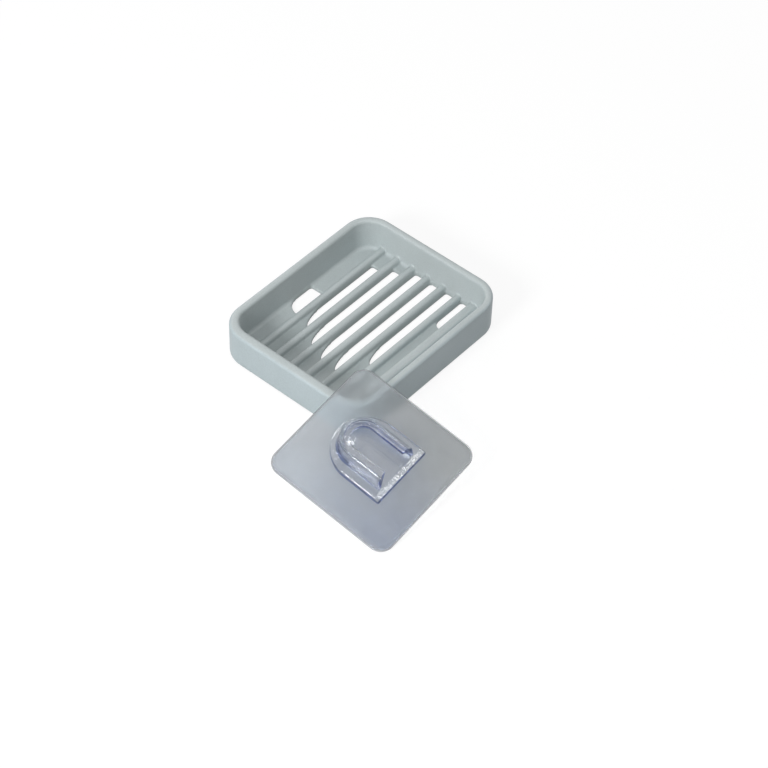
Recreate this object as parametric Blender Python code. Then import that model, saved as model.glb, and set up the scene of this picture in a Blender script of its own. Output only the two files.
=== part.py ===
"""Soap dish: a drained plastic tray with a clear adhesive wall hook that lies against its front corner.

Metres, +Z up. The origin is under the middle of the tray, on the surface that it stands on.
X runs across the drain ribs and Y along them. The tray's hidden rear wall faces -X.
"""

import math

import bmesh
import bpy
from mathutils import Matrix, Vector

# Tray shell
TRAY_WIDTH = 0.100
TRAY_LENGTH = 0.122
TRAY_HEIGHT = 0.022
TRAY_CORNER_RADIUS = 0.0164
BASE_EDGE_RADIUS = 0.0017
RIM_EDGE_RADIUS = 0.0018
WALL_TOP_THICKNESS = 0.0045
WALL_FOOT_THICKNESS = 0.0050
NEAR_WALL_EXTRA = 0.0016
FLOOR_THICKNESS = 0.0020
FLOOR_EDGE_RADIUS = 0.0022

# Drain ribs and the slots between them
RIB_COUNT = 7
RIB_PITCH = 0.01105
RIB_WIDTH = 0.0049
RIB_TOP = 0.0053
RIB_CROWN_RADIUS = 0.0021
LAST_RIB_FLAT = 0.0021
RIB_ROOT_DEPTH = 0.0010
SLOT_LEDGE = 0.00015
SLOT_END_MARGIN = 0.0004
SLOT_CORNER_RADIUS = 0.0014
LONG_TIP = 0.020
MIDDLE_TIP = 0.009
SHORT_TIP = 0.005

# Each slot's start and end along Y and its tip length, from the slot beside the rear wall on.
# None is an end at the foot of the far wall. The gap beside the front wall stays closed.
SLOTS = (
    (-0.0125, 0.0090, MIDDLE_TIP),
    (-0.0155, 0.0440, LONG_TIP),
    (-0.0242, 0.0495, LONG_TIP),
    (-0.0289, None, LONG_TIP),
    (-0.0301, None, LONG_TIP),
    (-0.0145, None, LONG_TIP),
    (0.0310, None, SHORT_TIP),
)

# Hanging tongue on the rear wall, which slides down into the hook's rail
TONGUE_WIDTH = 0.0202
TONGUE_FLANGE_THICKNESS = 0.0040
TONGUE_BASE_HEIGHT = 0.0005
TONGUE_SLOPE = 1.68
TONGUE_ROOT_DEPTH = 0.0020
HANG_CLEARANCE = 0.0004

# Hook: a D-shaped plate under a U-shaped rail with an inward lip
RAIL_WALL = 0.0020
RAIL_FLARE = 0.0014
RAIL_HEIGHT = 0.0087
RAIL_STRAIGHT = 0.0223
RAIL_END_SLANT = 0.0008
RAIL_ROOT_DEPTH = 0.0006
RAIL_EDGE = 0.0006
LIP_REACH = 0.0034
LIP_THICKNESS = 0.0020
LIP_DROP = 0.0005
LIP_SETBACK = 0.0024
PLATE_THICKNESS = 0.0024
PLATE_EDGE = 0.0006
PLATE_SIDE_MARGIN = 0.0055
PLATE_APEX_MARGIN = 0.0021
PLATE_OPEN_MARGIN = 0.0042
PLATE_CORNER_RADIUS = 0.0012
LEAD_IN_LENGTH = 0.0039
LEAD_IN_DROP = 0.0008
HOOK_SHIFT_X = 0.0010
HOOK_SHIFT_Y = 0.0024

# Adhesive pad: film, adhesive and release liner, seen from the hook down
PAD_SIDE = 0.078
PAD_CORNER_RADIUS = 0.0080
FILM_THICKNESS = 0.0004
ADHESIVE_THICKNESS = 0.0005
LINER_THICKNESS = 0.0002
LAYER_GAP = 0.0001
ADHESIVE_INSET = 0.0006

# How the pad lies: its underside on the tray's rim and its lowest corner on the surface below
PAD_LEAN_HEADING = math.radians(-32.7)
PAD_TURN = math.radians(-10.0)
PAD_OVERHANG = 0.0325
PAD_SIDE_SHIFT = -0.0035
REST_GAP = 0.0003

# Smoothness of round shapes
CORNER_STEPS = 12
EDGE_STEPS = 5
ARCH_STEPS = 28
SMOOTH_ANGLE = math.radians(32)
CUT_OVERSHOOT = 0.0010


def clear_scene():
    for obj in list(bpy.data.objects):
        bpy.data.objects.remove(obj, do_unlink=True)


def make_material(name, colour, roughness, transmission=0.0):
    material = bpy.data.materials.new(name)
    material.use_nodes = True
    shader = material.node_tree.nodes["Principled BSDF"]
    shader.inputs["Base Color"].default_value = (*colour, 1.0)
    shader.inputs["Roughness"].default_value = roughness
    shader.inputs["Metallic"].default_value = 0.0
    shader.inputs["Transmission Weight"].default_value = transmission
    return material


def make_object(name, mesh_builder, material=None):
    """Turns a filled bmesh into a smooth-shaded object in the scene."""
    mesh = bpy.data.meshes.new(name)
    bmesh.ops.recalc_face_normals(mesh_builder, faces=mesh_builder.faces)
    mesh_builder.to_mesh(mesh)
    mesh_builder.free()
    mesh.shade_smooth()
    mesh.set_sharp_from_angle(angle=SMOOTH_ANGLE)
    obj = bpy.data.objects.new(name, mesh)
    bpy.context.scene.collection.objects.link(obj)
    if material:
        mesh.materials.append(material)
    return obj


def hide_helper(obj):
    obj.hide_render = True
    obj.display_type = "WIRE"
    return obj


def combine(target, other, operation):
    modifier = target.modifiers.new(f"{operation.lower()}_{other.name}", "BOOLEAN")
    modifier.operation = operation
    modifier.solver = "EXACT"
    modifier.object = hide_helper(other)


def arc(centre_x, centre_y, radius, start, end, steps):
    """Points along an arc, angles in degrees."""
    points = []
    for step in range(steps + 1):
        angle = math.radians(start + (end - start) * step / steps)
        points.append((centre_x + radius * math.cos(angle), centre_y + radius * math.sin(angle)))
    return points


def rounded_rectangle(width, length, radius, steps=CORNER_STEPS):
    """Outline of a rectangle with round corners, counter-clockwise from the +X side."""
    reach_x = width / 2 - radius
    reach_y = length / 2 - radius
    outline = []
    for sign_x, sign_y, start in ((1, 1, 0), (-1, 1, 90), (-1, -1, 180), (1, -1, 270)):
        outline += arc(sign_x * reach_x, sign_y * reach_y, radius, start, start + 90, steps)
    return outline


def loft_into(builder, rings):
    """Skins a stack of rings with equal counts of points and closes both ends."""
    rows = [[builder.verts.new(point) for point in ring] for ring in rings]
    count = len(rows[0])
    for lower, upper in zip(rows, rows[1:]):
        for index in range(count):
            after = (index + 1) % count
            builder.faces.new((lower[index], lower[after], upper[after], upper[index]))
    builder.faces.new(list(reversed(rows[0])))
    builder.faces.new(rows[-1])


def prism_into(builder, outline, bottom, top):
    loft_into(builder, [[(x, y, level) for x, y in outline] for level in (bottom, top)])


def tray_ring(inset, level, near_extra=0.0):
    """One ring of the tub. The extra moves the near wall's side, at -Y, further in."""
    radius = TRAY_CORNER_RADIUS - inset
    outline = rounded_rectangle(TRAY_WIDTH - 2 * inset, TRAY_LENGTH - 2 * inset - near_extra, radius)
    return [(x, y + near_extra / 2, level) for x, y in outline]


def quarter_turn(steps=EDGE_STEPS):
    """Sine and cosine from 0 to 90 degrees."""
    for step in range(steps + 1):
        angle = math.pi / 2 * step / steps
        yield math.sin(angle), math.cos(angle)


def inner_wall_inset(level):
    """How far the inner wall face stands in from the outer face at a height."""
    rise = (level - FLOOR_THICKNESS) / (TRAY_HEIGHT - FLOOR_THICKNESS)
    return WALL_FOOT_THICKNESS + (WALL_TOP_THICKNESS - WALL_FOOT_THICKNESS) * rise


def make_tray_shell(material):
    """The open tub: rounded base edge, straight outer wall, rolled rim, drafted inner wall and floor."""
    rings = []
    for sine, cosine in quarter_turn():
        rings.append(tray_ring(BASE_EDGE_RADIUS * (1 - sine), BASE_EDGE_RADIUS * (1 - cosine)))
    rim_low = TRAY_HEIGHT - RIM_EDGE_RADIUS
    for sine, cosine in quarter_turn():
        rings.append(tray_ring(RIM_EDGE_RADIUS * (1 - cosine), rim_low + RIM_EDGE_RADIUS * sine))
    inner = inner_wall_inset(rim_low)
    for sine, cosine in quarter_turn():
        inset = inner - RIM_EDGE_RADIUS * (1 - sine)
        rings.append(tray_ring(inset, rim_low + RIM_EDGE_RADIUS * cosine, NEAR_WALL_EXTRA))
    foot = inner_wall_inset(FLOOR_THICKNESS + FLOOR_EDGE_RADIUS)
    for sine, cosine in quarter_turn():
        level = FLOOR_THICKNESS + FLOOR_EDGE_RADIUS * (1 - sine)
        rings.append(tray_ring(foot + FLOOR_EDGE_RADIUS * (1 - cosine), level, NEAR_WALL_EXTRA))
    builder = bmesh.new()
    loft_into(builder, rings)
    return make_object("soap_tray", builder, material)


def rib_positions():
    middle = (RIB_COUNT - 1) / 2
    return [(index - middle) * RIB_PITCH for index in range(RIB_COUNT)]


def rib_flats():
    """The flat width on top of each rib: none but the last one's, beside the front wall."""
    return [0.0] * (RIB_COUNT - 1) + [LAST_RIB_FLAT]


def rib_profile(flat):
    """Round crown, then flanks that run tangent from it to the rib's foot at the floor, and a root below."""
    foot = RIB_WIDTH / 2
    radius = min(RIB_CROWN_RADIUS, foot)
    crown = RIB_TOP - radius
    drop = FLOOR_THICKNESS - crown
    flank = math.degrees(math.atan2(drop, foot) + math.acos(radius / math.hypot(foot, drop)))
    root = FLOOR_THICKNESS - RIB_ROOT_DEPTH
    shift = flat / 2
    right = [(shift + foot, root), (shift + foot, FLOOR_THICKNESS)]
    right += arc(shift, crown, radius, flank, 90, EDGE_STEPS)
    left = [(-x, z) for x, z in reversed(right)]
    return right + (left if flat else left[1:])


def make_ribs():
    """Bars rooted in the floor and in the middle of both end walls."""
    reach = TRAY_LENGTH / 2 - WALL_TOP_THICKNESS / 2
    builder = bmesh.new()
    for centre, flat in zip(rib_positions(), rib_flats()):
        profile = rib_profile(flat)
        loft_into(builder, [[(centre + x, y, z) for x, z in profile] for y in (-reach, reach)])
    return make_object("rib_bars", builder)


def slot_edges():
    """The left and right edge of each slot, from the one beside the rear wall."""
    inner_side = TRAY_WIDTH / 2 - WALL_FOOT_THICKNESS
    reach = RIB_WIDTH / 2 + SLOT_LEDGE
    ribs = list(zip(rib_positions(), rib_flats()))
    lefts = [-inner_side + SLOT_END_MARGIN] + [rib + flat / 2 + reach for rib, flat in ribs]
    rights = [rib - flat / 2 - reach for rib, flat in ribs]
    return list(zip(lefts, rights))


def slot_outline(left, right, start, end, tip):
    """A slot with round corners at the far end, narrowed by a quarter ellipse to a tip at the near end."""
    radius = SLOT_CORNER_RADIUS
    outline = arc(right - radius, end - radius, radius, 0, 90, EDGE_STEPS)
    outline += arc(left + radius, end - radius, radius, 90, 180, EDGE_STEPS)
    for x, y in arc(0, 0, 1, 180, 270, CORNER_STEPS):
        outline.append((right + (right - left) * x, start + tip + tip * y))
    return outline


def make_slot_cutters():
    inner_end = TRAY_LENGTH / 2 - WALL_FOOT_THICKNESS - SLOT_END_MARGIN
    builder = bmesh.new()
    for (left, right), (start, end, tip) in zip(slot_edges(), SLOTS):
        stop = inner_end if end is None else end
        outline = slot_outline(left, right, start, stop, tip)
        prism_into(builder, outline, -CUT_OVERSHOOT, FLOOR_THICKNESS + FLOOR_EDGE_RADIUS)
    return make_object("slot_cutters", builder)


def tongue_outline(width):
    """Round end down, straight sides up past the rim, in Y and Z."""
    radius = width / 2
    centre = TONGUE_BASE_HEIGHT + TONGUE_WIDTH / 2
    return arc(0, centre, radius, 180, 360, ARCH_STEPS) + [(radius, TRAY_HEIGHT), (-radius, TRAY_HEIGHT)]


def groove_width():
    return TONGUE_WIDTH + 2 * HANG_CLEARANCE


def lip_opening():
    return groove_width() - 2 * LIP_REACH


def make_tongue():
    """A neck that passes between the hook's lips and a wider flange that runs behind them."""
    wall = -TRAY_WIDTH / 2
    neck_end = wall - (LIP_THICKNESS + 2 * HANG_CLEARANCE)
    flange_end = neck_end - TONGUE_FLANGE_THICKNESS
    neck_width = lip_opening() - 2 * HANG_CLEARANCE
    neck_builder = bmesh.new()
    neck = tongue_outline(neck_width)
    neck_span = (wall + TONGUE_ROOT_DEPTH, neck_end - TONGUE_FLANGE_THICKNESS / 2)
    loft_into(neck_builder, [[(x, y, z) for y, z in neck] for x in neck_span])
    tongue = make_object("tongue", neck_builder)
    flange_builder = bmesh.new()
    flange = tongue_outline(TONGUE_WIDTH)
    loft_into(flange_builder, [[(x, y, z) for y, z in flange] for x in (neck_end, flange_end)])
    combine(tongue, make_object("tongue_flange", flange_builder), "UNION")
    combine(tongue, make_tongue_wedge(wall, flange_end), "DIFFERENCE")
    return tongue


def make_tongue_wedge(wall, flange_end):
    """Cuts the tongue's top to a slope that falls away from the rim."""
    start = wall + TONGUE_ROOT_DEPTH + CUT_OVERSHOOT
    finish = flange_end - CUT_OVERSHOOT
    rim = TRAY_HEIGHT - RIM_EDGE_RADIUS
    low_start = rim - TONGUE_SLOPE * (wall - start)
    low_finish = rim - TONGUE_SLOPE * (wall - finish)
    roof = TRAY_HEIGHT + low_start
    side = TONGUE_WIDTH
    profile = [(start, low_start), (start, roof), (finish, roof), (finish, low_finish)]
    builder = bmesh.new()
    loft_into(builder, [[(x, y, z) for x, z in profile] for y in (-side, side)])
    return make_object("tongue_wedge", builder)


def make_tray(material):
    tray = make_tray_shell(material)
    combine(tray, make_ribs(), "UNION")
    combine(tray, make_tongue(), "UNION")
    combine(tray, make_slot_cutters(), "DIFFERENCE")
    return tray


def rail_foot_radius():
    return groove_width() / 2 + RAIL_WALL + RAIL_FLARE


def rail_profile(plate_top):
    """Half section of the rail, as distance from the middle line, height and how far its end stands in."""
    groove = groove_width() / 2
    shoulder = groove + RAIL_WALL
    opening = lip_opening() / 2
    foot = rail_foot_radius()
    root = plate_top - RAIL_ROOT_DEPTH
    top = plate_top + RAIL_HEIGHT
    over_lip = top - LIP_DROP
    under_lip = over_lip - LIP_THICKNESS
    return [
        (foot, root, 0.0),
        (foot, plate_top, 0.0),
        (shoulder, top - RAIL_EDGE, RAIL_END_SLANT),
        (shoulder - RAIL_EDGE, top, RAIL_END_SLANT),
        (groove, top, RAIL_END_SLANT),
        (groove - LIP_DROP, over_lip, LIP_SETBACK),
        (opening, over_lip, LIP_SETBACK),
        (opening, under_lip, LIP_SETBACK),
        (groove, under_lip, RAIL_END_SLANT),
        (foot - RAIL_WALL, plate_top, 0.0),
        (foot - RAIL_WALL, root, 0.0),
    ]


def rail_arc_y():
    """Height of the arch's centre above the plate's straight edge."""
    return PLATE_OPEN_MARGIN + RAIL_STRAIGHT


def make_rail(plate_top, edge_y):
    """Sweeps the half section up one leg, round the arch and down the other leg."""
    profile = rail_profile(plate_top)
    centre_y = edge_y + rail_arc_y()
    foot_y = edge_y + PLATE_OPEN_MARGIN
    rings = [[(HOOK_SHIFT_X + r, foot_y + inset, z) for r, z, inset in profile]]
    for cosine, sine in arc(0, 0, 1, 0, 180, ARCH_STEPS):
        rings.append([(HOOK_SHIFT_X + r * cosine, centre_y + r * sine, z) for r, z, _ in profile])
    rings.append([(HOOK_SHIFT_X - r, foot_y + inset, z) for r, z, inset in profile])
    builder = bmesh.new()
    loft_into(builder, rings)
    return make_object("hook_rail", builder)


def plate_outline(edge_y, inset):
    """A D: round apex above, straight edge with small corners below."""
    radius = rail_foot_radius() + PLATE_SIDE_MARGIN
    apex = edge_y + rail_arc_y() + rail_foot_radius() + PLATE_APEX_MARGIN
    corner = PLATE_CORNER_RADIUS
    left = HOOK_SHIFT_X - radius
    right = HOOK_SHIFT_X + radius
    outline = arc(right - corner, edge_y + corner, corner - inset, -90, 0, EDGE_STEPS)
    outline += arc(HOOK_SHIFT_X, apex - radius, radius - inset, 0, 180, ARCH_STEPS)
    outline += arc(left + corner, edge_y + corner, corner - inset, 180, 270, EDGE_STEPS)
    return outline


def plate_length():
    return rail_arc_y() + rail_foot_radius() + PLATE_APEX_MARGIN


def make_lead_in(plate_top, edge_y):
    """Cuts the plate's top to a shallow slope along its straight edge, where the tongue comes in."""
    steepness = LEAD_IN_DROP / LEAD_IN_LENGTH
    start = edge_y - CUT_OVERSHOOT
    finish = edge_y + LEAD_IN_LENGTH + CUT_OVERSHOOT
    low = plate_top - LEAD_IN_DROP - steepness * CUT_OVERSHOOT
    high = plate_top + steepness * CUT_OVERSHOOT
    profile = [(start, low), (finish, high), (start, high)]
    side = rail_foot_radius() + 2 * PLATE_SIDE_MARGIN
    span = (HOOK_SHIFT_X - side, HOOK_SHIFT_X + side)
    builder = bmesh.new()
    loft_into(builder, [[(x, y, z) for y, z in profile] for x in span])
    return make_object("lead_in", builder)


def make_hook(material, bottom):
    """The D-shaped plate with the rail standing on it, as one clear moulding."""
    top = bottom + PLATE_THICKNESS
    edge_y = HOOK_SHIFT_Y - plate_length() / 2
    rings = [[(x, y, bottom) for x, y in plate_outline(edge_y, 0)]]
    for sine, cosine in quarter_turn():
        level = top - PLATE_EDGE * (1 - sine)
        rings.append([(x, y, level) for x, y in plate_outline(edge_y, PLATE_EDGE * (1 - cosine))])
    builder = bmesh.new()
    loft_into(builder, rings)
    hook = make_object("hook_plate", builder, material)
    lead_in = make_lead_in(top, edge_y)
    combine(hook, lead_in, "DIFFERENCE")
    rail = make_rail(top, edge_y)
    combine(hook, rail, "UNION")
    return hook, lead_in, rail


def make_sheet(name, material, bottom, thickness, inset=0.0):
    outline = rounded_rectangle(PAD_SIDE - 2 * inset, PAD_SIDE - 2 * inset, PAD_CORNER_RADIUS - inset)
    builder = bmesh.new()
    prism_into(builder, outline, bottom, bottom + thickness)
    return make_object(name, builder, material)


def pad_matrix():
    """Places the pad's underside on the rim's front corner and its lowest corner on the surface."""
    corner_offset = math.sqrt(2) * (PAD_SIDE / 2 - PAD_CORNER_RADIUS)
    to_lowest = corner_offset * math.cos(PAD_TURN) + PAD_CORNER_RADIUS
    over_rim = RIM_EDGE_RADIUS + REST_GAP
    rim_centre = TRAY_HEIGHT - RIM_EDGE_RADIUS
    slope_length = math.hypot(PAD_OVERHANG + to_lowest, over_rim)
    tilt = math.atan2(over_rim, PAD_OVERHANG + to_lowest)
    tilt += math.asin((rim_centre - REST_GAP) / slope_length)
    lean = Matrix.Rotation(PAD_LEAN_HEADING, 3, "Z") @ Matrix.Rotation(tilt, 3, "Y")
    down_slope, sideways, normal = lean.col
    corner = Vector((TRAY_WIDTH / 2 - TRAY_CORNER_RADIUS, TRAY_CORNER_RADIUS - TRAY_LENGTH / 2, rim_centre))
    heading = Vector((math.cos(PAD_LEAN_HEADING), math.sin(PAD_LEAN_HEADING), 0))
    on_rim = corner + (TRAY_CORNER_RADIUS - RIM_EDGE_RADIUS) * heading + over_rim * normal
    centre = on_rim + PAD_OVERHANG * down_slope + PAD_SIDE_SHIFT * sideways
    turn = Matrix.Rotation(PAD_TURN + math.radians(135), 3, "Z")
    return Matrix.Translation(centre) @ (lean @ turn).to_4x4()


def make_wall_hook(clear, film_material, adhesive_material, liner_material):
    """The hook on its adhesive pad. The empty's origin is in the middle of the pad's underside."""
    carrier = bpy.data.objects.new("wall_hook_frame", None)
    bpy.context.scene.collection.objects.link(carrier)
    carrier.matrix_world = pad_matrix()
    adhesive_bottom = LINER_THICKNESS + LAYER_GAP
    film_bottom = adhesive_bottom + ADHESIVE_THICKNESS + LAYER_GAP
    plate_bottom = film_bottom + FILM_THICKNESS + LAYER_GAP
    liner = make_sheet("release_liner", liner_material, 0.0, LINER_THICKNESS)
    adhesive = make_sheet(
        "adhesive_layer", adhesive_material, adhesive_bottom, ADHESIVE_THICKNESS, ADHESIVE_INSET
    )
    film = make_sheet("pad_film", film_material, film_bottom, FILM_THICKNESS)
    for piece in (liner, adhesive, film, *make_hook(clear, plate_bottom)):
        piece.parent = carrier


def main():
    clear_scene()
    tray_plastic = make_material("tray_plastic", (0.36, 0.42, 0.42), 0.42)
    clear_plastic = make_material("clear_plastic", (0.80, 0.84, 0.93), 0.06, 1.0)
    film_plastic = make_material("film_plastic", (0.55, 0.57, 0.60), 0.18, 0.8)
    adhesive_gel = make_material("adhesive_gel", (0.52, 0.54, 0.58), 0.30, 0.8)
    liner_film = make_material("liner_film", (0.58, 0.60, 0.64), 0.35, 0.6)
    make_tray(tray_plastic)
    make_wall_hook(clear_plastic, film_plastic, adhesive_gel, liner_film)


main()
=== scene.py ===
"""Looks of the soap dish: a satin tray and a clear wall hook on its square adhesive pad."""

import math

import bmesh
import bpy
from mathutils import Matrix, Vector


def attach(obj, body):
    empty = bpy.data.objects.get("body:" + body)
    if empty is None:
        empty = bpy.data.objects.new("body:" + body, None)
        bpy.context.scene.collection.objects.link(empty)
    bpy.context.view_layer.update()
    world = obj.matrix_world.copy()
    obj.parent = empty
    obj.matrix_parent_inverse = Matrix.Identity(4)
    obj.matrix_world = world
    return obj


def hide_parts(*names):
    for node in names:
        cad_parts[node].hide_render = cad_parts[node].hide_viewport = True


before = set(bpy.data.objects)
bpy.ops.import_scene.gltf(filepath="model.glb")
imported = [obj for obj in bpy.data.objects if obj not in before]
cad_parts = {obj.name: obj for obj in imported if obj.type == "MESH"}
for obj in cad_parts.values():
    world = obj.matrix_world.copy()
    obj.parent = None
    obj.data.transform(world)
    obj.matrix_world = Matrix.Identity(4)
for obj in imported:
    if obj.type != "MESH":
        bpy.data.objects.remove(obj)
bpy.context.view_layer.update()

# Camera, from the fit to the tray's outline: its place and nearest sight in metres, its lens and sensor in mm
CAMERA_PLACE = Vector((0.58855, -0.69368, 0.93789))
CAMERA_AZIMUTH = math.radians(39.48)
CAMERA_ELEVATION = math.radians(47.01)
CAMERA_ROLL = math.radians(1.95)
CAMERA_LENS = 112.5
CAMERA_SENSOR = 36.0
CAMERA_NEAREST = 0.01

# How the pad lies, repeated from the part's source
PAD_CENTRE = Vector((0.070852, -0.072674, 0.013710))
PAD_HEADING = math.radians(-32.7)
PAD_TILT = math.radians(15.191518)
PAD_TURN = math.radians(125)
PAD_SIDE = 0.078
PAD_CORNER = 0.0080

# The pad's own axes: across the hook's rail, along it to its round end, and up from the pad's back
ACROSS, ALONG, UP = 0, 1, 2

# Along the pad: the end of the hook's lead-in slope and the plate's straight edge
LEAD_IN_END = -0.01495
OPEN_EDGE = -0.01885

# Sink marks in the plate's top: places across and along the pad, radius and depth
SINK_MARKS = ((-0.0007, 0.0104), (-0.0130, 0.0120))
SINK_RADIUS = 0.0054
SINK_DEPTH = 0.0009

# Round end of the D-shaped plate: the middle of its arc across and along the pad, and its radius
PLATE_ARC = (0.0010, 0.00425)
PLATE_RADIUS = 0.0194

# Rounded near shoulder of the plate: width, drop, and where across the arc it is whole and where it ends
SHOULDER_WIDTH = 0.0015
SHOULDER_DROP = 0.0011
SHOULDER_FADE = (-0.016, -0.008)

# Half the tray's width and length
TRAY_HALF = (0.050, 0.061)

# Each sheet's node: underside, thickness and inset
SHEETS = {
    "release_liner": (0.0, 0.0002, 0.0),
    "adhesive_layer": (0.0003, 0.0005, 0.0006),
    "pad_film": (0.0009, 0.0004, 0.0),
}

# Rings in each face of a sheet, as shares of its outline, the rounding of its edge, at most this share of its
# thickness, and the angle above which an edge stays sharp
SHEET_RINGS = (1, 0.94, 0.86, 0.76, 0.64, 0.5, 0.36, 0.22, 0.1)
SHEET_EDGE = 0.00012
SHEET_EDGE_SHARE = 0.45
SHEET_SHARP = math.radians(50)

# Points in each corner and along each side of a sheet's outline
CORNER_POINTS = 10
SIDE_POINTS = 12

# Remeshing: points closer than this are welded, and each moulding's voxel and rounds of softening
WELD = 2e-6
TRAY_VOXEL = 0.00045
TRAY_ROUNDS = 4
HOOK_VOXEL = 0.00020
HOOK_ROUNDS = 2
SOFTENING = 0.5
MOST_TRIANGLES = 190000

# Floor: half its side, its drop below the tray, and the white that it glows with
FLOOR_HALF = 3.0
FLOOR_DROP = 0.00005
FLOOR_GLOW = 1.07

# Strength of the soft light all round
AMBIENT = 0.52

# Key lamp: diameter, power in watts, azimuth and elevation in degrees, and distance
KEY_SIZE = 0.34
KEY_POWER = 9.6
KEY_TOWARDS = (0, 32)
KEY_DISTANCE = 1.28

# Fill from straight above: the angle that it spreads over, its strength, and its azimuth and elevation
FILL_SPREAD = math.radians(60)
FILL_LIGHT = 0.085 * math.pi
FILL_TOWARDS = (0, 90)

# Lamps that only make glints: name, side, power, azimuth and elevation, and distance
GLINT_BOXES = (
    ("soft_box", 0.34, 4.2, (122, 64.4), 1.22),
    ("rim_box", 0.20, 2.4, (-114, 32.5), 0.93),
)

# Most clear layers that one ray passes
CLEAR_LAYERS = 24

# In a pair of numbers for a fade, the first is where it starts and the second is where it is complete.
# Most of a noise lies in this range.
NOISE_RANGE = (0.3, 0.7)

# Diffuse depths are whole numbers, so this tells none from one
NO_BOUNCE = 0.5

WHITE = (1.0, 1.0, 1.0)


def opaque(colour):
    """Red, green and blue with full alpha, or a colour's socket as it is."""
    return colour if isinstance(colour, bpy.types.NodeSocket) else (*colour, 1.0)


class Graph:
    """A material's node tree, with short calls for the nodes used here."""

    def __init__(self, name):
        self.material = bpy.data.materials.new(name)
        self.material.use_nodes = True
        self.tree = self.material.node_tree
        self.tree.nodes.clear()
        self.output = self.node("ShaderNodeOutputMaterial")
        self.place = self.node("ShaderNodeTexCoord").outputs["Object"]

    def node(self, kind, inputs=None, **settings):
        made = self.tree.nodes.new(kind)
        for key, value in settings.items():
            setattr(made, key, value)
        for key, value in (inputs or {}).items():
            self.feed(made.inputs[key], value)
        return made

    def feed(self, socket, value):
        if isinstance(value, bpy.types.NodeSocket):
            self.tree.links.new(value, socket)
        else:
            socket.default_value = value

    def noise(self, scale, detail=2.0, roughness=0.5):
        made = self.node(
            "ShaderNodeTexNoise",
            {"Vector": self.place, "Scale": scale, "Detail": detail, "Roughness": roughness},
        )
        return made.outputs["Fac"]

    def spread(self, value, low, high, start=0.0, end=1.0):
        """Low up to the start, high from the end on, and a straight slope between them."""
        made = self.node(
            "ShaderNodeMapRange",
            {"Value": value, "From Min": start, "From Max": end, "To Min": low, "To Max": high},
        )
        return made.outputs["Result"]

    def rise(self, value, start, end):
        return self.spread(value, 0.0, 1.0, start, end)

    def fall(self, value, start, end):
        return self.spread(value, 1.0, 0.0, start, end)

    def vary(self, noise, low, high):
        """A noise's usual range, spread from low to high."""
        return self.spread(noise, low, high, *NOISE_RANGE)

    def math(self, operation, first, second=0.0):
        made = self.node("ShaderNodeMath", {0: first, 1: second}, operation=operation)
        return made.outputs["Value"]

    def plus(self, first, second):
        return self.math("ADD", first, second)

    def minus(self, first, second):
        return self.math("SUBTRACT", first, second)

    def times(self, first, second):
        return self.math("MULTIPLY", first, second)

    def most(self, first, second):
        return self.math("MAXIMUM", first, second)

    def least(self, first, second):
        return self.math("MINIMUM", first, second)

    def hypotenuse(self, first, second):
        squares = [self.times(value, value) for value in (first, second)]
        return self.math("SQRT", self.plus(*squares))

    def dot(self, first, second):
        made = self.node("ShaderNodeVectorMath", {0: first, 1: second}, operation="DOT_PRODUCT")
        return made.outputs["Value"]

    def mix(self, factor, first, second, **settings):
        made = self.node("ShaderNodeMix", data_type="RGBA", **settings)
        self.feed(made.inputs["Factor"], factor)
        self.feed(made.inputs[6], opaque(first))
        self.feed(made.inputs[7], opaque(second))
        return made.outputs[2]

    def tinted(self, base, tint):
        return self.mix(1.0, base, tint, blend_type="MULTIPLY")

    def bump(self, height, distance, strength, normal=None):
        inputs = {"Height": height, "Distance": distance, "Strength": strength}
        if normal:
            inputs["Normal"] = normal
        return self.node("ShaderNodeBump", inputs).outputs["Normal"]

    def either(self, share, first, second):
        """The second shader by its share, and the first one for the rest."""
        made = self.node("ShaderNodeMixShader", {0: share, 1: first, 2: second})
        return made.outputs["Shader"]

    def surface(self, shader):
        self.feed(self.output.inputs["Surface"], shader)
        return self.material


def pad_frame():
    lean = Matrix.Rotation(PAD_HEADING, 4, "Z") @ Matrix.Rotation(PAD_TILT, 4, "Y")
    return Matrix.Translation(PAD_CENTRE) @ lean @ Matrix.Rotation(PAD_TURN, 4, "Z")


def pad_axis(axis):
    return pad_frame().to_3x3().col[axis].copy()


def pad_reach(graph, axis, offset=0.0):
    """Distance along one of the pad's axes, in metres, from a point that far from the pad's middle."""
    line = pad_axis(axis)
    return graph.minus(graph.dot(graph.place, line), PAD_CENTRE.dot(line) + offset)


def facing(graph, axis):
    """How much the outer side of a face looks along one of the pad's axes, seen from either side."""
    geometry = graph.node("ShaderNodeNewGeometry").outputs
    side = graph.spread(geometry["Backfacing"], 1.0, -1.0)
    return graph.times(graph.dot(geometry["Normal"], pad_axis(axis)), side)


# Tray: cloudy colours of its inside and its outside, specks, worn edges and the tint of painted shade in its
# creases
INSIDE_CLOUD = ((0.462, 0.512, 0.517), (0.492, 0.545, 0.550))
OUTSIDE_CLOUD = ((0.448, 0.520, 0.541), (0.472, 0.546, 0.570))
SPECK_TINTS = ((0.95, 0.95, 0.95), (1.05, 1.05, 1.05))
WORN_TINT = (1.05, 1.05, 1.045)
CREASE_SHADE_TINT = (0.86, 0.86, 0.87)

# Where the pointiness of an edge starts to count and where it counts in full, and the reverse for the painted
# shade in creases
WORN_POINTINESS = (0.515, 0.56)
CREASE_POINTINESS = (0.44, 0.485)

# Roughness of the tray in patches, and how much smoother a worn edge is
TRAY_ROUGHNESS = (0.46, 0.58)
WORN_POLISH = 0.08

# The outside's colour fades in as a face looks more outwards: 0 is level, and less is inwards
OUTWARD = (0.2, 0.8)
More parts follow.
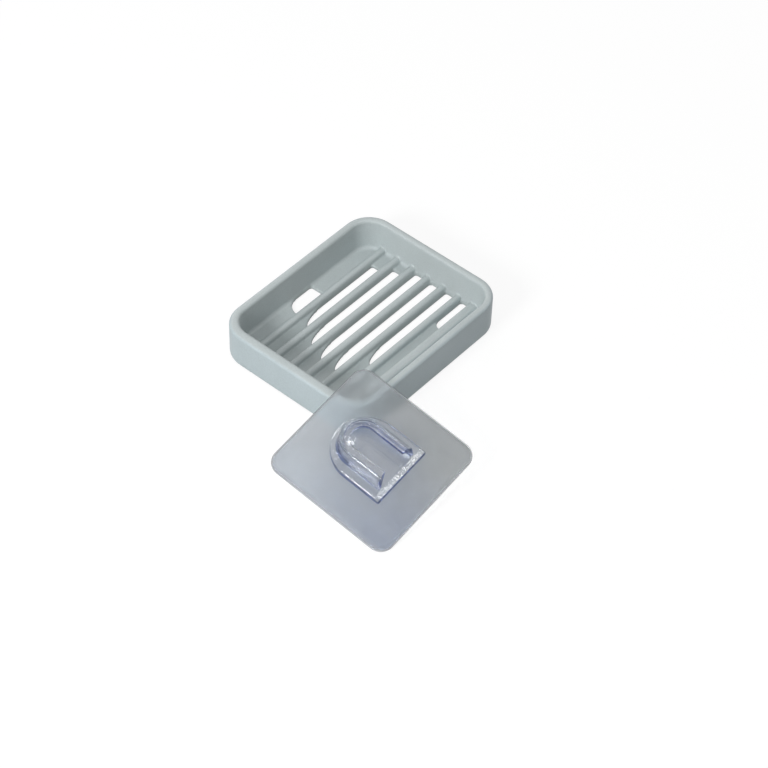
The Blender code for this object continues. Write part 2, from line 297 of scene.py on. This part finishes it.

# Painted shade on the floor between the ribs: its tint, and its fades upwards, towards the near wall to a
# share, towards the far wall to another share, and to both sides. The near fade slants by this much length
# per width.
VALLEY_SHADE_TINT = (0.78, 0.80, 0.80)
VALLEY_HEIGHTS = (0.0024, 0.0042)
VALLEY_NEAR = (-0.048, -0.034)
VALLEY_NEAR_SHARE = 0.1
VALLEY_SLANT = 0.6
VALLEY_FAR = (0.020, 0.045)
VALLEY_FAR_SHARE = 0.4
VALLEY_SIDES = (0.031, 0.033)


def facing_out(graph):
    """1 on the tray's outside, 0 on its floor, its rim and its inside."""
    normal = graph.node("ShaderNodeNewGeometry").outputs["Normal"]
    inverse = (1 / TRAY_HALF[0], 1 / TRAY_HALF[1], 0)
    outward = graph.node("ShaderNodeVectorMath", {0: graph.place, 1: inverse}, operation="MULTIPLY")
    return graph.rise(graph.dot(normal, outward.outputs["Vector"]), *OUTWARD)


def rib_valley_shade(graph):
    """Where painted shade darkens the tray: 1 on the floor between the drain ribs, less towards the end
    walls, 0 elsewhere.
    """
    place = graph.node("ShaderNodeSeparateXYZ", {"Vector": graph.place}).outputs
    low = graph.fall(place["Z"], *VALLEY_HEIGHTS)
    slant = graph.minus(place["Y"], graph.times(place["X"], VALLEY_SLANT))
    near = graph.spread(slant, VALLEY_NEAR_SHARE, 1.0, *VALLEY_NEAR)
    far = graph.spread(place["Y"], 1.0, VALLEY_FAR_SHARE, *VALLEY_FAR)
    sides = graph.fall(graph.math("ABSOLUTE", place["X"]), *VALLEY_SIDES)
    return graph.times(graph.times(low, sides), graph.times(near, far))


def tray_plastic():
    """Satin plastic with clouds, grain and worn edges, and painted shade in its creases and on the floor
    between the ribs.
    """
    graph = Graph("tray_plastic")
    cloud = graph.vary(graph.noise(scale=45.0, detail=3.0), 0, 1)
    grain = graph.noise(scale=1400.0, roughness=0.6)
    inside = graph.mix(cloud, *INSIDE_CLOUD)
    outside = graph.mix(cloud, *OUTSIDE_CLOUD)
    base = graph.mix(facing_out(graph), inside, outside)
    base = graph.tinted(base, graph.mix(graph.vary(grain, 0, 1), *SPECK_TINTS))
    bend = graph.node("ShaderNodeNewGeometry").outputs["Pointiness"]
    worn = graph.rise(bend, *WORN_POINTINESS)
    # Painted shade: creases are darkened by their pointiness
    crease = graph.fall(bend, *CREASE_POINTINESS)
    edges = graph.mix(worn, WHITE, WORN_TINT)
    base = graph.tinted(base, graph.mix(crease, edges, CREASE_SHADE_TINT))
    # Painted shade on the floor between the ribs
    base = graph.tinted(base, graph.mix(rib_valley_shade(graph), WHITE, VALLEY_SHADE_TINT))
    rough = graph.spread(graph.noise(scale=160.0, detail=3.0), *TRAY_ROUGHNESS)
    shader = graph.node(
        "ShaderNodeBsdfPrincipled",
        {
            "Base Color": base,
            "Roughness": graph.minus(rough, graph.times(worn, WORN_POLISH)),
            "Normal": graph.bump(grain, distance=0.00006, strength=0.5),
            "Specular IOR Level": 0.45,
        },
    )
    return graph.surface(shader.outputs["BSDF"])


def lets_lamps_through(graph, shader, tint):
    """The shader as the eye sees it, but with only a tinted shadow."""
    shadow = graph.node("ShaderNodeLightPath").outputs["Is Shadow Ray"]
    clear = graph.node("ShaderNodeBsdfTransparent", {"Color": opaque(tint)})
    return graph.either(shadow, shader, clear.outputs["BSDF"])


# Hook: painted blue shade of its sides, the tint of its level faces, painted dark blue shade of its edges,
# what its body absorbs, its shadow and its roughness
HOOK_SIDE_SHADE = (0.80, 0.81, 0.87)
HOOK_LEVEL = (0.81, 0.80, 0.78)
HOOK_BLUE_SHADE = (0.085, 0.125, 0.36)
HOOK_BODY = (0.32, 0.46, 0.60)
HOOK_BODY_DENSITY = 44.0
HOOK_SHADOW = (0.93, 0.935, 0.945)
HOOK_ROUGHNESS = (0.0, 0.05)

# Lower than a real plastic's, because the real plate is bonded to the film and light leaks down there
HOOK_INDEX = 1.32

# Heights above the pad's back over which the plate's relief fades out and the crest's waves fade in
PLATE_TOP = (0.0042, 0.0048)
CREST_HEIGHTS = (0.0104, 0.0112)

# Along the pad: the fade of the crest's waves, which only the arch has
CREST_START = (0.002, 0.006)

# Greatest heights of the waves: on the lead-in slope, in the sink marks and on the crest
LEAD_IN_WAVES = 0.00060
SINK_WAVES = 0.00050
CREST_WAVES = 0.00036

# The lead-in's waves fade out over this far on both sides of its end, and a sink mark's over these shares
# of its radius
LEAD_IN_FADE = 0.0006
SINK_FADE = (0.7, 1.0)

# Heights above the pad's back up to which the near side has painted deep blue shade, by the leg and by the
# arch
BLUE_HEIGHTS = (0.0044, 0.0052)
ARCH_HEIGHTS = (0.0060, 0.0090)

# Along the pad: the fade into the arch, and the fades of the painted blue shade past the lead-in's end and
# the open edge
ARCH_START = (-0.001, 0.006)
LEG_END_REACH = (0.0018, 0.0026)
OPEN_EDGE_REACH = (0.0005, 0.0008)

# Across the pad: the fade from the near half to the far half
FAR_HALF = (-0.001, 0.001)

# Cosines between a face's normal and one of the pad's axes, for the fades of the painted blue shade on what
# faces the near side and the open side, of what faces the near side without a coat, and of what faces up
NEAR_FACING = (-0.65, -0.30)
OPEN_FACING = (-0.65, -0.25)
BARE_FACING = (-0.6, -0.2)
LEVEL_FACING = (0.15, 0.75)


def plate_shoulder(graph):
    """Height of the plate's rounded near shoulder, in metres: it falls towards the outline."""
    across, along = (pad_reach(graph, axis, PLATE_ARC[axis]) for axis in (ACROSS, ALONG))
    radius = graph.hypotenuse(across, graph.most(along, 0.0))
    share = graph.rise(radius, PLATE_RADIUS - SHOULDER_WIDTH, PLATE_RADIUS)
    drop = graph.times(graph.times(share, share), -SHOULDER_DROP)
    return graph.times(drop, graph.fall(across, *SHOULDER_FADE))


def plate_relief(graph):
    """Height of the waves and sink marks in the plate's top and of the waves on the crest, in metres."""
    slope = pad_reach(graph, ALONG, LEAD_IN_END)
    wavy = graph.spread(slope, LEAD_IN_WAVES, 0.0, -LEAD_IN_FADE, LEAD_IN_FADE)
    sunk = 0.0
    for place in SINK_MARKS:
        away = graph.hypotenuse(*(pad_reach(graph, axis, place[axis]) for axis in (ACROSS, ALONG)))
        share = graph.math("DIVIDE", away, SINK_RADIUS)
        bowl = graph.least(graph.times(share, share), 1.0)
        sunk = graph.plus(graph.times(bowl, SINK_DEPTH), sunk)
        wavy = graph.most(wavy, graph.spread(share, SINK_WAVES, 0.0, *SINK_FADE))
    height = pad_reach(graph, UP)
    relief = graph.plus(graph.times(graph.noise(scale=480.0, detail=1.5), wavy), sunk)
    relief = graph.times(graph.plus(relief, plate_shoulder(graph)), graph.fall(height, *PLATE_TOP))
    crest = graph.spread(height, 0.0, CREST_WAVES, *CREST_HEIGHTS)
    crest = graph.times(crest, graph.rise(pad_reach(graph, ALONG), *CREST_START))
    return graph.plus(relief, graph.times(graph.noise(scale=620.0, detail=1.0), crest))


def clear_plastic():
    """Clear moulding with wavy faces, painted blue shade on its sides and edges, and a coat that carries its
    glints.
    """
    graph = Graph("clear_plastic")
    normal = graph.bump(graph.noise(scale=330.0), distance=0.0003, strength=0.30)
    normal = graph.bump(plate_relief(graph), distance=1.0, strength=1.0, normal=normal)
    normal = graph.bump(graph.noise(scale=1500.0), distance=0.00005, strength=0.2, normal=normal)

    height = pad_reach(graph, UP)
    near_face = facing(graph, ACROSS)
    level = graph.rise(facing(graph, UP), *LEVEL_FACING)
    far_half = graph.rise(pad_reach(graph, ACROSS), *FAR_HALF)
    open_edge = graph.fall(pad_reach(graph, ALONG, OPEN_EDGE), *OPEN_EDGE_REACH)

    # Where the painted dark blue shade goes: the near side low down and by the arch, the open side, the open
    # edge and the leg's end
    arch = graph.rise(pad_reach(graph, ALONG), *ARCH_START)
    arch = graph.times(arch, graph.fall(height, *ARCH_HEIGHTS))
    low = graph.most(graph.fall(height, *BLUE_HEIGHTS), arch)
    near_side = graph.times(graph.fall(near_face, *NEAR_FACING), graph.most(low, far_half))
    open_side = graph.fall(facing(graph, ALONG), *OPEN_FACING)
    leg_end = graph.fall(pad_reach(graph, ALONG, LEAD_IN_END), *LEG_END_REACH)
    leg_end = graph.times(leg_end, graph.rise(height, *PLATE_TOP))
    blue = graph.most(graph.most(open_side, near_side), open_edge)
    blue = graph.most(blue, graph.times(leg_end, graph.minus(1.0, level)))

    bare = graph.times(graph.fall(near_face, *BARE_FACING), far_half)
    # Level faces keep their tint, the sides take a painted blue shade, and the blue mask a darker painted
    # blue shade
    shader = graph.node(
        "ShaderNodeBsdfPrincipled",
        {
            "Base Color": graph.mix(blue, graph.mix(level, HOOK_SIDE_SHADE, HOOK_LEVEL), HOOK_BLUE_SHADE),
            "Roughness": graph.spread(graph.noise(scale=400.0), *HOOK_ROUGHNESS),
            "Normal": normal,
            "Transmission Weight": 1.0,
            "IOR": HOOK_INDEX,
            "Coat Weight": graph.minus(1.0, graph.most(bare, open_edge)),
            "Coat IOR": 1.6,
            "Coat Roughness": 0.02,
            "Coat Normal": normal,
        },
    )
    body = {"Color": opaque(HOOK_BODY), "Density": HOOK_BODY_DENSITY}
    absorb = graph.node("ShaderNodeVolumeAbsorption", body)
    graph.feed(graph.output.inputs["Volume"], absorb.outputs["Volume"])
    return graph.surface(lets_lamps_through(graph, shader.outputs["BSDF"], HOOK_SHADOW))


# Film and liner: their tint, the factor for its darkest clouds, the share that they hide of what lies behind,
# the most that clouds and grain each change that share, and the most that clouds change the roughness
SHEET_TINT = (0.565, 0.58, 0.605)
SHEET_CLOUD = 0.93
SHEET_HIDES = 0.09
SHEET_HIDES_STEP = 0.02
SHEET_ROUGHNESS_STEP = 0.05

# Roughness of each sheet and how dark the painted shade along its cut edge is
FILM_ROUGHNESS = 0.30
FILM_LINE = 1.0
LINER_ROUGHNESS = 0.40
LINER_LINE = 0.6

# Bands along the outline, as distances past it: the grey margin and the painted shade of the cut edge, with
# the shares that they hide and their tints. The margin's tint counts this many times as much as its share.
MARGIN_BAND = (-0.0009, -0.0005)
MARGIN_HIDES = 0.40
MARGIN_TINT = (0.44, 0.46, 0.49)
MARGIN_TINTING = 2.0
CUT_BAND = (-0.00040, -0.00015)
CUT_HIDES = 0.5
CUT_SHADE_TINT = (0.10, 0.12, 0.13)

# The painted shade of the cut edge is fainter at the pad's near corner: its share there, and the fade over
# across plus along
CUT_LOWER_SHARE = 0.1
CUT_CHANGE = (-0.02, 0.02)


def edge_reach(graph):
    """Distance past the pad's rounded outline, in metres: below 0 on the pad."""
    flat = PAD_SIDE / 2 - PAD_CORNER
    beyond = [graph.minus(graph.math("ABSOLUTE", pad_reach(graph, axis)), flat) for axis in (ACROSS, ALONG)]
    outer = graph.hypotenuse(*(graph.most(value, 0.0) for value in beyond))
    inner = graph.least(graph.most(*beyond), 0.0)
    return graph.minus(graph.plus(outer, inner), PAD_CORNER)


def sheet_material(name, roughness, line):
    """A thin cloudy sheet that partly hides what lies behind, with painted shade along its cut edge."""
    graph = Graph(name)
    cloud = graph.vary(graph.noise(scale=70.0, detail=3.0), 0, 1)
    grain = graph.noise(scale=1800.0, roughness=0.6)
    reach = edge_reach(graph)
    margin = graph.spread(reach, 0.0, MARGIN_HIDES, *MARGIN_BAND)
    upper = graph.plus(pad_reach(graph, ACROSS), pad_reach(graph, ALONG))
    # Painted shade along the cut edge, fainter at the pad's near corner
    cut = graph.spread(reach, 0.0, line, *CUT_BAND)
    cut = graph.times(cut, graph.spread(upper, CUT_LOWER_SHARE, 1.0, *CUT_CHANGE))
    base = graph.mix(cloud, [part * SHEET_CLOUD for part in SHEET_TINT], SHEET_TINT)
    base = graph.mix(graph.times(margin, MARGIN_TINTING), base, MARGIN_TINT)
    base = graph.mix(cut, base, CUT_SHADE_TINT)
    hides = graph.spread(cloud, SHEET_HIDES - SHEET_HIDES_STEP, SHEET_HIDES + SHEET_HIDES_STEP)
    hides = graph.plus(hides, graph.vary(grain, -SHEET_HIDES_STEP, SHEET_HIDES_STEP))
    hides = graph.most(graph.plus(hides, margin), graph.times(cut, CUT_HIDES))
    rough = graph.spread(cloud, roughness - SHEET_ROUGHNESS_STEP, roughness + SHEET_ROUGHNESS_STEP)
    shader = graph.node(
        "ShaderNodeBsdfPrincipled",
        {
            "Base Color": base,
            "Roughness": graph.plus(rough, margin),
            "Normal": graph.bump(grain, distance=0.00004, strength=0.3),
            "Alpha": hides,
            "IOR": 1.45,
        },
    )
    return graph.surface(shader.outputs["BSDF"])


# Gel: its tints in painted shade and in painted light, each in grey and in blue, its near band, its specks,
# its shadow and roughness
GEL_SHADED = ((0.65, 0.68, 0.685), (0.525, 0.585, 0.705))
GEL_LIT = ((0.875, 0.90, 0.915), (0.84, 0.90, 0.96))
GEL_BAND = (0.82, 0.87, 0.95)
GEL_SPECK = (0.91, 0.91, 0.915)
GEL_SHADOW = (0.92, 0.935, 0.95)
GEL_ROUGHNESS = (0.34, 0.42)

# Painted light pales the gel over a sum of along and across, each by its factor, and clouds shift that sum by
# up to this
PALE_ALONG = 0.9
PALE_ACROSS = -0.45
PALE_RANGE = (-0.020, 0.032)
PALE_CLOUD = 0.008

# Across the pad: the fade of the gel from blue to grey, and that of its near band, with the band's share
BLUE_TO_GREY = (-0.030, 0.020)
NEAR_BAND = (-0.0366, -0.0352)
NEAR_BAND_SHARE = 0.55


def gel_material():
    """The cloudy gel: it blurs what lies behind it, and painted light makes it paler towards the pad's far
    left side.
    """
    graph = Graph("adhesive_gel")
    cloud = graph.noise(scale=70.0, detail=3.0)
    grain = graph.noise(scale=1800.0, roughness=0.6)
    across = pad_reach(graph, ACROSS)
    # Painted light: the gel pales along this slope across the pad
    slope = graph.times(pad_reach(graph, ALONG), PALE_ALONG)
    slope = graph.plus(slope, graph.times(across, PALE_ACROSS))
    slope = graph.plus(slope, graph.vary(cloud, -PALE_CLOUD, PALE_CLOUD))
    blue = graph.fall(across, *BLUE_TO_GREY)
    deep = graph.mix(blue, *GEL_SHADED)
    pale = graph.mix(blue, *GEL_LIT)
    tint = graph.mix(graph.rise(slope, *PALE_RANGE), deep, pale)
    band = graph.spread(across, NEAR_BAND_SHARE, 0.0, *NEAR_BAND)
    tint = graph.mix(band, tint, GEL_BAND)
    shader = graph.node(
        "ShaderNodeBsdfPrincipled",
        {
            "Base Color": graph.tinted(tint, graph.mix(graph.vary(grain, 0, 1), GEL_SPECK, WHITE)),
            "Roughness": graph.vary(cloud, *GEL_ROUGHNESS),
            "Normal": graph.bump(grain, distance=0.00004, strength=0.3),
            "Transmission Weight": 0.97,
            "IOR": 1.12,
        },
    )
    return graph.surface(lets_lamps_through(graph, shader.outputs["BSDF"], GEL_SHADOW))


def add_object(name, data):
    obj = bpy.data.objects.new(name, data)
    bpy.context.scene.collection.objects.link(obj)
    return obj


def add_mesh(name, builder):
    """An object with the builder's mesh. The builder is freed."""
    mesh = bpy.data.meshes.new(name)
    builder.to_mesh(mesh)
    builder.free()
    return add_object(name, mesh)


def piece_from_node(node, name):
    """A new object with the node's mesh, welded and with its faces turned outwards."""
    builder = bmesh.new()
    builder.from_mesh(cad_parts[node].data)
    bmesh.ops.remove_doubles(builder, verts=builder.verts, dist=WELD)
    bmesh.ops.recalc_face_normals(builder, faces=builder.faces)
    return add_mesh(name, builder)


def apply_modifiers(obj):
    graph = bpy.context.evaluated_depsgraph_get()
    mesh = bpy.data.meshes.new_from_object(obj.evaluated_get(graph))
    obj.modifiers.clear()
    old = obj.data
    obj.data = mesh
    bpy.data.meshes.remove(old)


def remesh(obj, voxel, rounds):
    """Evens the mesh out, softens its edges as a mould does and thins it to the triangle limit."""
    even = obj.modifiers.new("even", "REMESH")
    even.mode = "VOXEL"
    even.voxel_size = voxel
    soften = obj.modifiers.new("soften", "SMOOTH")
    soften.iterations = rounds
    soften.factor = SOFTENING
    apply_modifiers(obj)
    triangles = sum(len(face.vertices) - 2 for face in obj.data.polygons)
    thin = obj.modifiers.new("thin", "DECIMATE")
    thin.ratio = min(1.0, MOST_TRIANGLES / triangles)
    apply_modifiers(obj)
    obj.data.shade_smooth()


def rounded_square(side, radius):
    """Points of a square with round corners, once round it."""
    reach = side / 2 - radius
    points = []
    for quarter in range(4):
        turn = Matrix.Rotation(quarter * math.pi / 2, 2)
        for step in range(SIDE_POINTS):
            points.append(turn @ Vector((side / 2, -reach + 2 * reach * step / SIDE_POINTS)))
        for step in range(CORNER_POINTS):
            angle = math.pi / 2 * step / CORNER_POINTS
            points.append(turn @ Vector((reach + radius * math.cos(angle), reach + radius * math.sin(angle))))
    return points


def sheet_piece(node, name):
    """A thin rounded square with a rounded edge, made of rings."""
    bottom, thickness, inset = SHEETS[node]
    top = bottom + thickness
    outline = rounded_square(PAD_SIDE - 2 * inset, PAD_CORNER - inset)
    edge = min(SHEET_EDGE, thickness * SHEET_EDGE_SHARE)
    builder = bmesh.new()

    def ring(share, level, pull=0.0):
        scale = share * (1 - pull / (PAD_SIDE / 2))
        return [builder.verts.new((p.x * scale, p.y * scale, level)) for p in outline]

    rows = [ring(share, bottom) for share in reversed(SHEET_RINGS[1:])]
    rows += [ring(1, bottom, edge), ring(1, bottom + edge), ring(1, top - edge), ring(1, top, edge)]
    rows += [ring(share, top) for share in SHEET_RINGS[1:]]
    for lower, upper in zip(rows, rows[1:]):
        for index in range(len(outline)):
            after = (index + 1) % len(outline)
            builder.faces.new((lower[index], lower[after], upper[after], upper[index]))
    builder.faces.new(list(reversed(rows[0])))
    builder.faces.new(rows[-1])
    bmesh.ops.recalc_face_normals(builder, faces=builder.faces)
    sheet = add_mesh(name, builder)
    sheet.data.transform(pad_frame())
    sheet.data.shade_smooth()
    sheet.data.set_sharp_from_angle(angle=SHEET_SHARP)
    return sheet


def dress(obj, material, body, node):
    obj.data.materials.clear()
    obj.data.materials.append(material)
    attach(obj, body)
    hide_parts(node)


def make_pieces():
    tray = piece_from_node("soap_tray", "tray_moulding")
    remesh(tray, TRAY_VOXEL, TRAY_ROUNDS)
    dress(tray, tray_plastic(), "tray", "soap_tray")

    hook = piece_from_node("hook_plate", "hook_moulding")
    remesh(hook, HOOK_VOXEL, HOOK_ROUNDS)
    dress(hook, clear_plastic(), "wall_hook", "hook_plate")

    liner = sheet_material("liner_film", LINER_ROUGHNESS, LINER_LINE)
    film = sheet_material("film_plastic", FILM_ROUGHNESS, FILM_LINE)
    looks = (
        ("release_liner", "liner_sheet", "liner_film", liner),
        ("adhesive_layer", "adhesive_sheet", "adhesive_gel", gel_material()),
        ("pad_film", "film_sheet", "film_plastic", film),
    )
    for node, name, slot, material in looks:
        dress(sheet_piece(node, name), material, "wall_hook", node)


# Floor: its tint, the same for rays off a face or through glass, and its share of white glow, plain and
# through glass
FLOOR_TINT = (0.86, 0.86, 0.86)
FLOOR_DIM_TINT = (0.34, 0.34, 0.34)
FLOOR_SHARE = 0.80
FLOOR_SHARE_THROUGH = 0.25


def floor_white():
    """White to the camera with faint shadows, and dimmer for rays that passed through glass or off a face."""
    graph = Graph("studio_white")
    path = graph.node("ShaderNodeLightPath").outputs
    through = path["Is Transmission Ray"]
    share = graph.spread(through, FLOOR_SHARE, FLOOR_SHARE_THROUGH)
    share = graph.times(graph.most(path["Is Camera Ray"], path["Is Glossy Ray"]), share)
    share = graph.times(share, graph.math("LESS_THAN", path["Diffuse Depth"], NO_BOUNCE))
    shade = graph.mix(graph.most(path["Is Diffuse Ray"], through), FLOOR_TINT, FLOOR_DIM_TINT)
    lit = graph.node("ShaderNodeBsdfDiffuse", {"Color": shade}).outputs["BSDF"]
    glow = graph.node("ShaderNodeEmission", {"Color": opaque(WHITE), "Strength": FLOOR_GLOW})
    return graph.surface(graph.either(share, lit, glow.outputs["Emission"]))


def make_floor():
    corners = [(x * FLOOR_HALF, y * FLOOR_HALF, 0) for x, y in ((-1, -1), (1, -1), (1, 1), (-1, 1))]
    mesh = bpy.data.meshes.new("studio_floor")
    mesh.from_pydata(corners, [], [(0, 1, 2, 3)])
    mesh.materials.append(floor_white())
    floor = add_object("studio_floor", mesh)
    floor.location.z = -FLOOR_DROP


def make_world():
    """Soft light all round, and white where a camera, mirror or glass ray goes past the floor."""
    world = bpy.data.worlds.new("studio")
    bpy.context.scene.world = world
    world.use_nodes = True
    tree = world.node_tree
    tree.nodes.clear()

    def node(kind, first=None, second=None, **settings):
        made = tree.nodes.new(kind)
        for key, value in settings.items():
            setattr(made, key, value)
        for index, socket in enumerate((first, second)):
            if isinstance(socket, bpy.types.NodeSocket):
                tree.links.new(socket, made.inputs[index])
            elif socket is not None:
                made.inputs[index].default_value = socket
        return made.outputs[0]

    path = tree.nodes.new("ShaderNodeLightPath").outputs
    seen = node("ShaderNodeMath", path["Is Camera Ray"], path["Is Glossy Ray"], operation="MAXIMUM")
    seen = node("ShaderNodeMath", seen, path["Is Transmission Ray"], operation="MAXIMUM")
    straight = node("ShaderNodeMath", path["Diffuse Depth"], NO_BOUNCE, operation="LESS_THAN")
    seen = node("ShaderNodeMath", seen, straight, operation="MULTIPLY")
    strength = node("ShaderNodeMapRange", seen)
    strength.node.inputs["To Min"].default_value = AMBIENT
    strength.node.inputs["To Max"].default_value = 1.0
    background = node("ShaderNodeBackground", opaque(WHITE), strength)
    tree.links.new(background, tree.nodes.new("ShaderNodeOutputWorld").inputs["Surface"])


def direction(azimuth, elevation):
    """Unit vector: azimuth 0 points along -Y and 90 along +X."""
    azimuth, elevation = math.radians(azimuth), math.radians(elevation)
    flat = math.cos(elevation)
    return Vector((math.sin(azimuth) * flat, -math.cos(azimuth) * flat, math.sin(elevation)))


def add_lamp(name, kind, power, angles, distance=1.0):
    """A lamp at a distance from the origin, facing it. Its object is returned."""
    data = bpy.data.lights.new(name, kind)
    data.energy = power
    lamp = add_object(name, data)
    towards = direction(*angles)
    aim = towards.to_track_quat("Z", "Y").to_matrix().to_4x4()
    lamp.matrix_world = Matrix.Translation(towards * distance) @ aim
    return lamp


def make_lamps():
    """A soft key, a weak fill from above, and boxes whose only work is the glints in clear plastic."""
    key = add_lamp("key", "AREA", KEY_POWER, KEY_TOWARDS, KEY_DISTANCE)
    key.data.shape = "DISK"
    key.data.size = KEY_SIZE
    fill = add_lamp("fill", "SUN", FILL_LIGHT, FILL_TOWARDS)
    fill.data.angle = FILL_SPREAD
    fill.visible_glossy = False
    for name, size, power, angles, distance in GLINT_BOXES:
        box = add_lamp(name, "AREA", power, angles, distance)
        box.data.shape = "SQUARE"
        box.data.size = size
        box.visible_diffuse = False


def make_camera():
    data = bpy.data.cameras.new("camera")
    data.sensor_width = CAMERA_SENSOR
    data.lens = CAMERA_LENS
    data.clip_start = CAMERA_NEAREST
    back = Vector((
        math.sin(CAMERA_AZIMUTH) * math.cos(CAMERA_ELEVATION),
        -math.cos(CAMERA_AZIMUTH) * math.cos(CAMERA_ELEVATION),
        math.sin(CAMERA_ELEVATION),
    ))
    right = (-back).cross(Vector((0, 0, 1))).normalized()
    up = right.cross(-back)
    cosine, sine = math.cos(CAMERA_ROLL), math.sin(CAMERA_ROLL)
    axes = Matrix((cosine * right + sine * up, cosine * up - sine * right, back)).transposed()
    camera = add_object("camera", data)
    camera.matrix_world = Matrix.Translation(CAMERA_PLACE) @ axes.to_4x4()
    bpy.context.scene.camera = camera


make_pieces()
make_floor()
make_world()
make_lamps()
make_camera()

scene = bpy.context.scene
scene.view_settings.view_transform = "Standard"
scene.cycles.transparent_max_bounces = CLEAR_LAYERS
